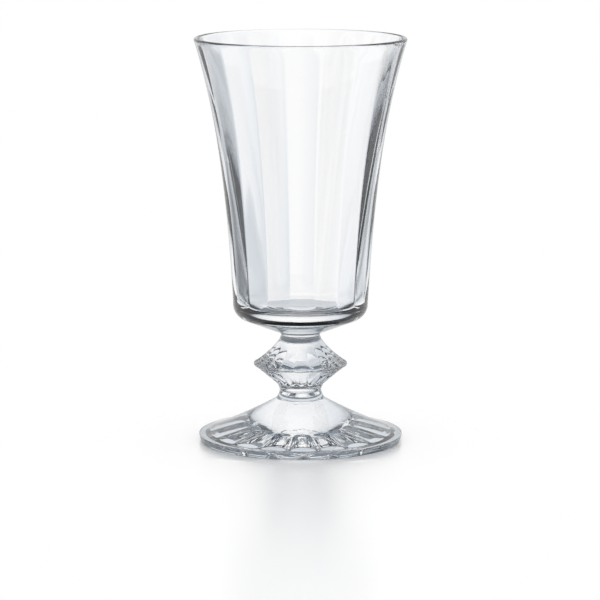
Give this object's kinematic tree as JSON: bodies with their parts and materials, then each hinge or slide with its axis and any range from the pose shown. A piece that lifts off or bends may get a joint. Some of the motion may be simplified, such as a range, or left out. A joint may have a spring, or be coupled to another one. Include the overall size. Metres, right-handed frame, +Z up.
{
  "type": "water goblet",
  "caption": "Tall clear crystal water goblet: ribbed tapering bowl with a flared lip, ribbed double-cone knop for a stem and a spread foot fluted underneath.",
  "frame": {"origin": "centre of the foot's underside, on the surface the goblet stands on", "axes": "+Z up along the goblet's axis to the rim; -Y towards the front, with a rib crest almost facing it; +X to the right"},
  "size_m": [0.0894, 0.0894, 0.1713],
  "materials": {
    "crystal": "clear, fire polished"
  },
  "bodies": {
    "root": {"bowl": "crystal", "bowl_collar": "crystal", "knop": "crystal", "foot_collar": "crystal", "foot": "crystal"}
  },
  "joints": []
}
